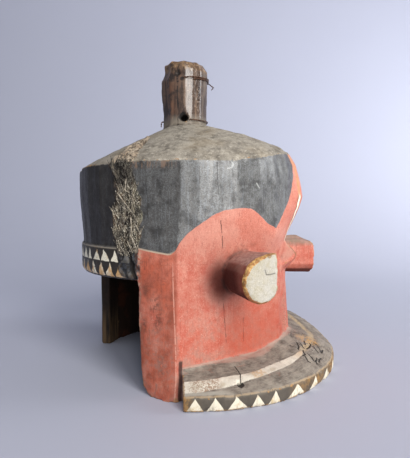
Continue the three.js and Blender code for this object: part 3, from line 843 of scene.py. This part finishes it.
rimRoom = rimTent * 2.0 - (field("rimShare") * 1.1 + wavy)
rimGrey = mix(n90, "#3d3832", "#6a6156")
rimStain = rise(n25, 0.4, 0.62) * over(rise(around, 60, 66), rise(around, 34, 26))
rimGrey.lay(mix(rise(n300, 0.4, 0.6), "#6b5233", "#a87f48"), 0.75, rimStain)
rimWhite = mix(rise(n90, 0.45, 0.65), "#e3dac4", "#c3ab82")
rimWhite.lay("#8f826d", 0.6, (streak, 0.5, 0.62))
rimMask = rise(rimRoom + (n300 - 0.5) * 0.25, 0.0, 0.08) * rise(n300 + n900 * 0.4, 0.46, 0.58)
plate.lay(mix(rimMask, rimGrey, rimWhite), 1, signed("rimBand", 0.3, 0.5))
plate.lay("#b39a78", 0.7, near(field("rimBand"), 0.2, 0.2, 0.9), (n300, 0.35, 0.5))
isPlate = signed("plateLine", 0.35, 0.5)
colour.lay(plate, 1, isPlate)
# Near-black line at the plate's end low down, where the end face stands in shade: painted shadow
colour.lay("#150d0a", 0.85, near(around + wobble * 0.3, 68.5, 0.4, 1.0), (height, 0.0325, 0.03))

# Eyes: dusty above; soot and painted shade beside and below, with the eyes' shadow painted on the face; bare and cream
# on the end
eyeBody = field("eyeBody")
eyeTop = eyeBody * rise(facingUp, 0.3, 0.8)
colour.lay(mix(rise(n300, 0.4, 0.6), "#8d6c64", "#b3968a"), 0.85, eyeTop)
sootAndShadowHere = field("eyeSootAndShadow") + wobble * 0.12
notCap = 1 - signed("capLine", 1.0, 0.5)
eyeAcross = field("eyeAcross")
# Near eye's tube darker: soot, and painted shade on its side away from the light
colour.lay("#55291f", 0.7, eyeBody, (eyeAcross, -60, -50), 1 - eyeTop)
colour.lay("#83544a", 0.6, (sootAndShadowHere, 0.05, 0.6), notCap, 1 - eyeBody)
# Painted shade under the eyes where they face down, and the eyes' painted shadow on the face, with soot
sootedAndShaded = over(eyeBody * rise(facingUp * -1.0, 0.2, 0.7) * 0.9, rise(sootAndShadowHere, 0.35, 0.95) * 0.95)
sootedAndShaded = sootedAndShaded * (1 - eyeTop * 0.6)
colour.lay("#47190f", 1, sootedAndShaded, notCap)
colour.lay(mix(rise(n90, 0.4, 0.6), "#77705f", "#8d7468"), 0.8, field("farEyeTop"), (n300, 0.3, 0.45))
eyeEnd = field("eyeEnd")
bareEnd = mix(rise(n300, 0.4, 0.6), "#9c6229", "#d9ae6c")
bareEnd.lay("#b5553c", 1, (height, 0.094, 0.086), (n300, 0.4, 0.55))
colour.lay(bareEnd, 1, (eyeEnd + wobble * 1.2, -0.3, 0.3))
rimmed = rise(eyeAcross, -16, 6) * (1.6 + rise(height, 0.1, 0.118) * 1.4)
endCream = rise(eyeEnd + wobble * 2.4 - rimmed, 0.6, 1.2)
ring = sheet.math("SINE", eyeEnd * 2.6)
creamTone = mix(rise(n90, 0.35, 0.7), "#bfbaae", "#b3a98f")
creamTone.lay("#a9a48f", 0.3, (ring + wobble * 2.6, 0.2, 1.2))
crackle = sheet.value("ShaderNodeTexVoronoi", {"Vector": point, "Scale": 520.0}, "Distance",
                      feature="DISTANCE_TO_EDGE")
creamTone.lay("#8c8166", 0.6, (crackle, 0.07, 0.0), (n300, 0.4, 0.55))
creamTone.lay("#eee6d2", 0.35, (n900, 0.56, 0.66))
colour.lay(creamTone, 1, endCream, (eyeEnd, 0.3, 0.9))

# Roof, dust, post, rubbed edges and the fibrous strip
roofTone = mix(rise(n90, 0.3, 0.7), "#6e675c", "#a69e8f")
roofTone.lay("#d8cfbe", 0.75, (n300, 0.5, 0.72))
roofTone.lay("#4b4439", 0.6, (n900, 0.46, 0.36))
roofTone.lay("#453e35", 0.65, (noise(stretch(point, (0.3, 1, 1), (0, 0, 0.9)), 620, 4, 0.7), 0.53, 0.68))
roofTone.lay("#8a7757", 0.4, (n25, 0.5, 0.7))
# Darker round the back of the roof: painted shade
roofTone.lay("#6c6353", 0.35, (around, 85, 110))
roof = field("roofPart")
colour.lay(roofTone, 1, (roof + wobble * 0.25, 0.35, 0.65))
dust = sheet.group(dustGroup, {"Vector": point, "Amount": 0.55})["Mask"]
colour.lay(paintLook["dust"], 1, dust, 1 - eyeTop)
post = field("postPart")
postTurn = field("postTurn")
postTone = mix(grain["Tone"], "#30221a", "#5c4635")
postTone.lay("#1e1511", 1, (n25, 0.5, 0.75))
postTone.lay("#8d735c", 0.55, (streak, 0.5, 0.64))
postTone.lay("#a08873", 0.5, (n300, 0.54, 0.66))
leftOfPost = rise(postTurn + wobble * 22.0, 62, 84)
leftTone = mix(rise(streak, 0.44, 0.6), "#261a14", "#604737")
leftTone.lay("#76503a", 0.6, near(postTurn, 108, 6, 22), (n90, 0.42, 0.6))
leftTone.lay("#1b1210", 1, (n90, 0.5, 0.36))
postTone.lay(leftTone, 0.85, leftOfPost)
rightOfPost = rise(postTurn + wobble * 12.0, 26, 12)
postTone.lay(mix(rise(streak, 0.4, 0.6), "#3a2d25", "#6f6255"), 0.7, rightOfPost)
postTone.lay(mix(rise(n300, 0.45, 0.6), "#6a4f38", "#a8885f"), 0.6, (height, 0.303, 0.31), (n90, 0.34, 0.55))
footDust = rise(height + wobble * 0.004, 0.262, 0.251)
postTone.lay(mix(n300, "#6d6458", "#a39a8a"), 0.7, footDust)
onPost = sheet.combine(postTurn * 0.42, level)
# Peg hole and nicks painted near black: painted shade inside them
pegHere = rise(apart(onPost, (70 * 0.42, 257.5, 0)) + wobble * 3.0, 6.0, 4.2)
for turn, top, reachOf in ((72, 296.5, 2.8), (86, 303.5, 5.0)):
    gap = apart(onPost, (turn * 0.42, top, 0)) + wobble * 2.5
    pegHere = over(pegHere, rise(gap, reachOf, reachOf * 0.5) * 0.85)
postTone.lay("#0d0805", 0.93, pegHere)
colour.lay(postTone, 1, post)
rubbed = sheet.group(wearGroup, {"Vector": point, "Edge": rise(edge, 0.15, 0.8), "Amount": 0.2})["Mask"]
colour.lay(raw, 0.7, rubbed, 1 - post * pegHere)
crust = field("crustPart")
crustTone = noise(stretch(point, (1, 1, 0.35)), 420, 6, 0.8, 0.4)
crustColour = mix(rise(crustTone, 0.44, 0.6), paintLook["crustDark"], mix(rise(around, 88, 96), "#86816c", "#8f7a64"))
# Pale on the strip's ridges: painted highlight
crustColour.lay("#cfc5b0", 1, (edge, 0.3, 0.9))
crustColour.lay("#6b5742", 0.6, (n90, 0.5, 0.65))
crustColour.lay("#1c1713", 0.75, (n90, 0.5, 0.38))
crustColour.lay("#191512", 0.7, (height, 0.176, 0.186), 1 - roof)
crustColour.lay(mix(n90, "#8d6a4c", "#d8ccb6"), 1, roof, (n300, 0.42, 0.54))
crustColour.lay(mix(rise(n300, 0.4, 0.65), "#1b1a1a", "#454c55"), 0.85, (height, 0.124, 0.1195))
crustMask = rise(crust + wobble * 0.3, 0.3, 0.6) * 0.9
colour.lay(crustColour, 1, crustMask)
colour.lay(paintLook["sootAndShade"], 0.9, (field("crustSplit") + wobble * 0.5, 0.3, 0.7))
# Inside of the helmet: near-black brown, painted shade on the raw wood, with rusty brown patches
inside = rise(field("rawInside"), 0.4, 0.6)
insideShadedTone = mix(grain["Tone"], paintLook["insideShadeBrown"], "#2e1c10")
insideShadedTone.lay("#5a2c14", 0.5, (n25, 0.5, 0.62))
colour.lay(insideShadedTone, 1, inside)
colour.lay(mix(rise(streak, 0.4, 0.65), "#1b1714", "#3f372f"), 0.9, (field("lowerWall"), 0.4, 0.6))
# Cut back edge of the wall: dark brown from painted shade, paler at the foot
cutWoodShaded = mix(rise(height, 0.015, 0.05), "#6e573c", "#2c2118")
colour.lay(mix(rise(streak, 0.4, 0.65), cutWoodShaded, "#1f1812"), 0.8, (field("cutEdge"), 0.4, 0.6))
# Darker in hollows, by how far the surface bends inward: painted shade
colour.lay(paintLook["sootAndShade"], 0.6, (edge * -1.0, 0.12, 0.8), 1 - near(field("plateLine"), 0, 3, 6))

# Cracks and channels
bent = sheet.value("ShaderNodeTexNoise", {"Vector": point, "Scale": 260.0, "Detail": 3.0}, "Color")
bent = sheet.vector("SUBTRACT", bent, (0.5, 0.5, 0.5))
onEnd = sheet.combine(eyeAcross, level - eyeForm["height"])
fromAbove, fromSide, onEnd = (
    sheet.vector("ADD", where, sheet.scaled(bent, reach))
    for where, reach in ((fromAbove, 2.2), (sheet.combine(around * 1.9, level), 1.6), (onEnd, 0.8)))


def strokes(where, pairs, width):
    mask = 0.0
    for start, end in pairs:
        values = {"Point": where, "From": tuple(start) + (0.0,), "To": tuple(end) + (0.0,), "Width": width}
        mask = over(mask, sheet.group(strokeGroup, values)["Mask"])
    return mask


def sideStrokes(cracks):
    mask = 0.0
    for start, end, width in cracks:
        mask = over(mask, strokes(fromSide, [((start[0] * 1.9, start[1]), (end[0] * 1.9, end[1]))], width))
    return mask


marks = strokes(fromAbove, [pair for line in plateMarks for pair in zip(line, line[1:])], 0.95)
marks = over(marks * rise(n900, 0.34, 0.44), strokes(fromAbove, zip(plateCrack, plateCrack[1:]), 0.7))
holeHere = rise(apart(fromAbove, (-106.4, -96, 0)), 3.2, 2.4)
marks = over(marks, holeHere) * isPlate
marks = over(marks, sideStrokes(faceCracks) * ((1 - inside) * (rise(n300, 0.36, 0.56) * 0.8)))
marks = over(marks, strokes(onEnd, zip(eyeMarks, eyeMarks[1:]), 0.7) * (endCream * 0.5))
colour.lay("#b9bab4", 0.6, sideStrokes(capScratches), isCap)
colour.lay("#120c09", 0.9, marks)

sheet.feed(surface.inputs["Base Color"], colour)
shine = mix(isCap, 0.66, mix(capWearAndSheen, 0.42, 0.3))
shine.lay(0.82, 1, over(dust, roof, crustMask, inside, isPlate))
postMatt = over(footDust, leftOfPost * 0.6, rightOfPost * 0.5, pegHere)
shine.lay(mix(postMatt, 0.24, 0.8), 1, post)
shine.lay(0.9, 1, sootedAndShaded, notCap)
sheet.feed(surface.inputs["Roughness"], shine + (n300 - 0.5) * 0.4)
capCoat = isCap * (1 - over(crustMask, inside, roof)) * (capWearAndSheen * 0.4)
sheet.feed(surface.inputs["Coat Weight"], over(post * ((1 - postMatt) * 0.8), capCoat * (1 - isPlate)))
surface.inputs["Coat Roughness"].default_value = 0.2
surface.inputs["Specular IOR Level"].default_value = 0.36
relief = grain["Height"] * 0.5 + n900 * 0.4 + n300 * 0.6 + fineStreak * 0.3
relief = relief + over(rows * 0.5, rimMask * isPlate, stripeMask) * 0.4
relief = relief + crustMask * (crustTone * 2.0) - marks * 2.2
sheet.relief(surface, relief * (1 - isCap * ((1 - crustMask) * 0.5)), 0.75, 0.0008)
helmet.data.materials.clear()
helmet.data.materials.append(paintedWood)
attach(helmet, "root")
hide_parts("helmet")
print("carving painted")


def newGeometry(name, inputs):
    shape = ("Geometry", "Geometry")
    return newGroup(name, [shape] + inputs, [shape], "GeometryNodeTree")


def runTree(made, tree, values):
    modifier = made.modifiers.new("shaped", "NODES")
    modifier.node_group = tree
    for item in tree.interface.items_tree:
        if item.in_out == "INPUT" and item.name in values:
            modifier[item.identifier] = values[item.name]
    bakeModifiers(made)


def endTree(sheet, result, geometry, material):
    real = sheet.value("GeometryNodeRealizeInstances", {"Geometry": geometry})
    sheet.feed(result["Geometry"], sheet.value("GeometryNodeSetMaterial", {"Geometry": real, "Material": material}))


# Splinters that stand off the fibrous strip, scattered over its faces
splinterLook = {"Density": 300000.0, "Length": 0.0075, "Thickness": 0.00048, "Tilt": 0.6, "Lean": 0.26, "Seed": 11}
# Longer loose slivers: both ends in mm from the axis, and thickness
longSlivers = [((-119.6, 13.8, 174.1), (-120.8, -4.4, 154.5), 0.62), ((-120, 6, 176.6), (-120.2, 0.6, 173.9), 0.5),
               ((-119.8, 4.6, 186), (-120, 5.4, 177), 0.5), ((-120, -0.1, 153.1), (-120, -0.8, 140), 0.6),
               ((-119.4, 0, 136.5), (-120.2, -5.4, 126.3), 0.6), ((-119.4, 4, 132), (-119.6, -1.5, 122), 0.5),
               ((-119.8, -5, 146), (-120, -9.5, 139), 0.5)]
sheet, given, result = newGeometry(
    "scatteredSplinters", [("Density", "Float"), ("Length", "Float"), ("Thickness", "Float"), ("Tilt", "Float"),
                           ("Lean", "Float"), ("Seed", "Int"), ("Material", "Material")])
density, length, thickness, tilt, lean, seed = (given[name] for name in splinterLook)
amount = sheet.value("GeometryNodeInputNamedAttribute", {"Name": "crustPart"}, "Attribute", data_type="FLOAT")
spots = sheet.value("GeometryNodeDistributePointsOnFaces",
                    {"Mesh": given["Geometry"], "Density": density * amount, "Seed": seed}, "Points")
sliver = sheet.value("GeometryNodeMeshCone", {"Vertices": 4, "Radius Top": thickness * 0.3,
                                              "Radius Bottom": thickness, "Depth": length}, "Mesh")


def randomVector(low, high, step):
    values = {0: sheet.combine(*low), 1: sheet.combine(*high), "Seed": seed + step}
    return sheet.value("FunctionNodeRandomValue", values, data_type="FLOAT_VECTOR")


leaning = randomVector((tilt * -1.0, lean * -1.0, 0.0), (tilt, lean * 0.1, 0.3), 1)
sized = randomVector((0.5, 0.5, 0.35), (1.3, 1.3, 1.4), 2)
spin = sheet.value("FunctionNodeEulerToRotation", {"Euler": leaning})
placed = {"Points": spots, "Instance": sliver, "Scale": sized, "Rotation": spin}
endTree(sheet, result, sheet.value("GeometryNodeInstanceOnPoints", placed), given["Material"])
splinterTree = sheet.tree

strip = bmesh.new()
strip.from_mesh(helmet.data)
layer = strip.verts.layers.float["crustPart"]
roofLayer = strip.verts.layers.float["roofPart"]


def bare(face):
    middle = face.calc_center_median()
    return min(v[layer] for v in face.verts) < 0.5 or max(v[roofLayer] for v in face.verts) > 0.1 or middle.z < 0.118


bmesh.ops.delete(strip, geom=[face for face in strip.faces if bare(face)], context="FACES")
stripMesh = bpy.data.meshes.new("crust_splinters")
strip.to_mesh(stripMesh)
strip.free()
splinters = newObject("crust_splinters", stripMesh)
splinterWood, sheet, surface, point = newMaterial("splinterWood", 0.75)
piece = sheet.noise(sheet.stretch(point, (1, 1, 0.25)), 330, 3, 0.7)
woodTone = sheet.mix(sheet.rise(piece, 0.42, 0.6), "#221c17", "#8f8470")
woodTone.lay("#cfc6b2", 1, (sheet.noise(point, 900, 3, 0.6), 0.5, 0.62))
woodTone.lay("#1c1713", 0.75, (sheet.noise(point, 90, 5, 0.65), 0.5, 0.38))
woodTone.lay("#191512", 0.7, (sheet.part(point, "Z"), 0.177, 0.186))
sheet.feed(surface.inputs["Base Color"], woodTone)
runTree(splinters, splinterTree, {**splinterLook, "Material": splinterWood})
scattered = len(splinters.data.polygons)
tool = bmesh.new()
tool.from_mesh(splinters.data)
for start, end, thick in longSlivers:
    low, high = (Vector(spot) / 1000 + Vector((0, axisBack, 0)) for spot in (start, end))
    matrix = Matrix.Translation((low + high) / 2) @ (high - low).to_track_quat("Z", "Y").to_matrix().to_4x4()
    bmesh.ops.create_cone(tool, cap_ends=True, segments=5, radius1=thick / 1000, radius2=thick / 2200,
                          depth=(high - low).length, matrix=matrix)
tool.to_mesh(splinters.data)
tool.free()
splinters.data.materials.clear()
splinters.data.materials.append(splinterWood)
sliverWood, sheet, surface, point = newMaterial("sliverWood", 0.8)
sliverTone = sheet.mix(sheet.rise(sheet.noise(point, 400, 3, 0.6), 0.4, 0.6), "#857a69", "#b5aa97")
sheet.feed(surface.inputs["Base Color"], sliverTone)
splinters.data.materials.append(sliverWood)
isLong = np.arange(len(splinters.data.polygons)) >= scattered
splinters.data.polygons.foreach_set("material_index", isLong.astype(np.int32))
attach(splinters, "root")
print("splinters made:", len(splinters.data.polygons), "faces")

# Wires: each strand is a pair of thin wires twisted along a path round the post
wireLook = {"Radius": 0.00038, "Pitch": 0.0058, "Step": 0.0006}
postRound = {
    "back": [(236, 26), (250, 24), (262, 23.6), (285, 25.4), (298, 25.8), (303, 23.6), (308, 21.8), (315, 22.8),
             (317, 22)],
    "front": [(236, 26), (250, 23.6), (262, 23.9), (285, 24.4), (302, 24.8), (308, 25), (315, 20), (317, 16.5)],
    "wireAway": 1.35,
}


def postPoint(radius, angle, z):
    a = math.radians(angle)
    return -radius * math.sin(a) / 1000, (postBehind - radius * math.cos(a)) / 1000 + axisBack, z / 1000


def turnRound(first, last, heightAt):
    points = []
    for angle in np.linspace(first, last, 2 + int(abs(last - first) / 4)):
        z = heightAt(angle)
        toFront = 0.5 + 0.5 * math.cos(math.radians(angle + 24))
        flat = 1 - 0.035 * abs(math.sin(math.radians(3.5 * angle + 20)))
        radius = blendTo(*(np.interp(z, *zip(*postRound[name])) for name in ("back", "front")), toFront) * flat
        points.append(postPoint(radius + postRound["wireAway"], angle, z))
    return points


def upperHeight(angle):
    return 299 + 2 * math.cos(math.radians(angle + 60))


def underHeight(angle):
    return upperHeight(angle) - 1.7


def lowerHeight(angle):
    return 255.4 - 1.2 * math.cos(math.radians(angle - 30))


hanging = [(26.3, -207, 254.4), (26.6, -209, 252.2), (26.6, -210, 249.8)]
twistedEnds = [(27.2, -30, 297.5), (28.8, -27, 295.6), (31, -25, 293.5), (29, -21, 290.5)]
wirePaths = {
    "post_wire_upper": [turnRound(68, -192, upperHeight), turnRound(44, -180, underHeight),
                        turnRound(-48, -36, underHeight) + [postPoint(*spot) for spot in twistedEnds]],
    "post_wire_lower": [turnRound(54, -204, lowerHeight) + [postPoint(*spot) for spot in hanging]],
}
sheet, given, result = newGeometry(
    "twistedPair", [("Radius", "Float"), ("Pitch", "Float"), ("Step", "Float"), ("Material", "Material")])
line = sheet.value("GeometryNodeMeshToCurve", {"Mesh": given["Geometry"]})
line = sheet.value("GeometryNodeCurveSplineType", {"Curve": line}, spline_type="CATMULL_ROM")
line = sheet.value("GeometryNodeResampleCurve", {"Curve": line, "Length": given["Step"]}, mode="LENGTH")
normal = sheet.value("GeometryNodeInputNormal")
across = sheet.vector("CROSS_PRODUCT", sheet.value("GeometryNodeInputTangent"), normal)
turns = sheet.math("DIVIDE", sheet.value("GeometryNodeSplineParameter", output="Length"), given["Pitch"])
ring = sheet.value("GeometryNodeCurvePrimitiveCircle", {"Resolution": 6, "Radius": given["Radius"]})
both = sheet.add("GeometryNodeJoinGeometry")
for half in (0.0, 0.5):
    phase = (turns + half) * (2 * math.pi)
    off = sheet.vector("ADD", sheet.scaled(normal, sheet.math("COSINE", phase)),
                       sheet.scaled(across, sheet.math("SINE", phase)))
    off = sheet.scaled(off, given["Radius"] * 0.85)
    moved = sheet.value("GeometryNodeSetPosition", {"Geometry": line, "Offset": off})
    tube = sheet.value("GeometryNodeCurveToMesh", {"Curve": moved, "Profile Curve": ring, "Fill Caps": True})
    sheet.feed(both.inputs[0], tube)
endTree(sheet, result, Value(sheet, both.outputs[0]), given["Material"])
wireTree = sheet.tree

rustedWire, sheet, surface, point = newMaterial("rustedWire")
rust = sheet.noise(point, 700, 4, 0.7)
sheet.feed(surface.inputs["Base Color"], sheet.mix(sheet.rise(rust, 0.35, 0.7), "#1d130e", "#7d5236"))
sheet.feed(surface.inputs["Metallic"], sheet.rise(rust, 0.7, 0.4) * 0.6)
sheet.feed(surface.inputs["Roughness"], rust * 0.4 + 0.25)
sheet.relief(surface, rust, 0.4, 0.0003)
for node, paths in wirePaths.items():
    points = [spot for path in paths for spot in path]
    links = []
    first = 0
    for path in paths:
        links += [(first + i, first + i + 1) for i in range(len(path) - 1)]
        first += len(path)
    mesh = bpy.data.meshes.new(node.replace("post_", "bound_"))
    mesh.from_pydata(points, links, [])
    wire = newObject(mesh.name, mesh)
    runTree(wire, wireTree, {**wireLook, "Material": rustedWire})
    wire.data.shade_smooth()
    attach(wire, "root")
    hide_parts(node)
    print(wire.name, len(wire.data.polygons), "faces")

# Plain pale ground that curves up behind, and soft lights
stageLook = {"colour": "#b8bac8", "near": -3.0, "far": 0.42, "bend": 1.1, "top": 4.0, "halfWidth": 5.0}
forward = Vector((-back.x, -back.y, 0)).normalized()
sideways = Vector((forward.y, -forward.x, 0))
profile = [(stageLook["near"], 0.0), (stageLook["far"], 0.0)]
for step in range(1, 25):
    a = math.pi / 2 * step / 24
    profile.append((stageLook["far"] + stageLook["bend"] * math.sin(a), stageLook["bend"] * (1 - math.cos(a))))
profile.append((stageLook["far"] + stageLook["bend"], stageLook["top"]))
aside = sideways * stageLook["halfWidth"]
corners = [forward * d + aside * side + Vector((0, 0, h)) for d, h in profile for side in (-1, 1)]
quads = [(2 * i, 2 * i + 1, 2 * i + 3, 2 * i + 2) for i in range(len(profile) - 1)]
floorMesh = bpy.data.meshes.new("floor")
floorMesh.from_pydata(corners, [], quads)
floorMesh.shade_smooth()
floor = newObject("floor", floorMesh)
floorPaint, sheet, surface, point = newMaterial("floorPaint", 0.7)
sheet.feed(surface.inputs["Base Color"], sheet.mix(sheet.noise(point, 3, 3, 0.5), stageLook["colour"], "#b5b7c6"))
floorMesh.materials.append(floorPaint)

lights = {
    "key": {"place": (-1.108, -1.583, 1.06), "size": (0.8, 1.9), "power": 44},
    "strip": {"place": (-1.6, -1.08, 0.85), "aim": (0, 0, 0.15), "size": (0.3, 1.7), "power": 10},
    "fill": {"place": (-1.7, 0.1, 0.8), "size": (1.6, 1.6), "power": 2, "colour": (0.85, 0.9, 1.0)},
    "wall": {"place": (0.95, -1.75, 0.75), "aim": (1.35, -0.3, 0.1), "size": (1.0, 1.0), "spread": 110, "power": 19,
             "colour": (0.93, 0.96, 1.0)},
}
plainLight = {"aim": (0, 0, 0.12), "spread": 180, "colour": (1.0, 0.98, 0.95)}
for name, given in lights.items():
    light = {**plainLight, **given}
    data = bpy.data.lights.new(name, "AREA")
    data.energy = light["power"]
    data.shape = "RECTANGLE"
    data.size, data.size_y = light["size"]
    data.spread = math.radians(light["spread"])
    data.color = light["colour"]
    lamp = newObject(name, data)
    turn = (Vector(light["aim"]) - Vector(light["place"])).to_track_quat("-Z", "Y")
    lamp.matrix_world = Matrix.Translation(light["place"]) @ turn.to_matrix().to_4x4()
world = bpy.data.worlds.new("softRoom")
world.use_nodes = True
world.node_tree.nodes["Background"].inputs[0].default_value = (0.8, 0.84, 0.93, 1)
world.node_tree.nodes["Background"].inputs[1].default_value = 0.37
bpy.context.scene.world = world
bpy.context.scene.view_settings.view_transform = "Standard"
print("stage and lights set")
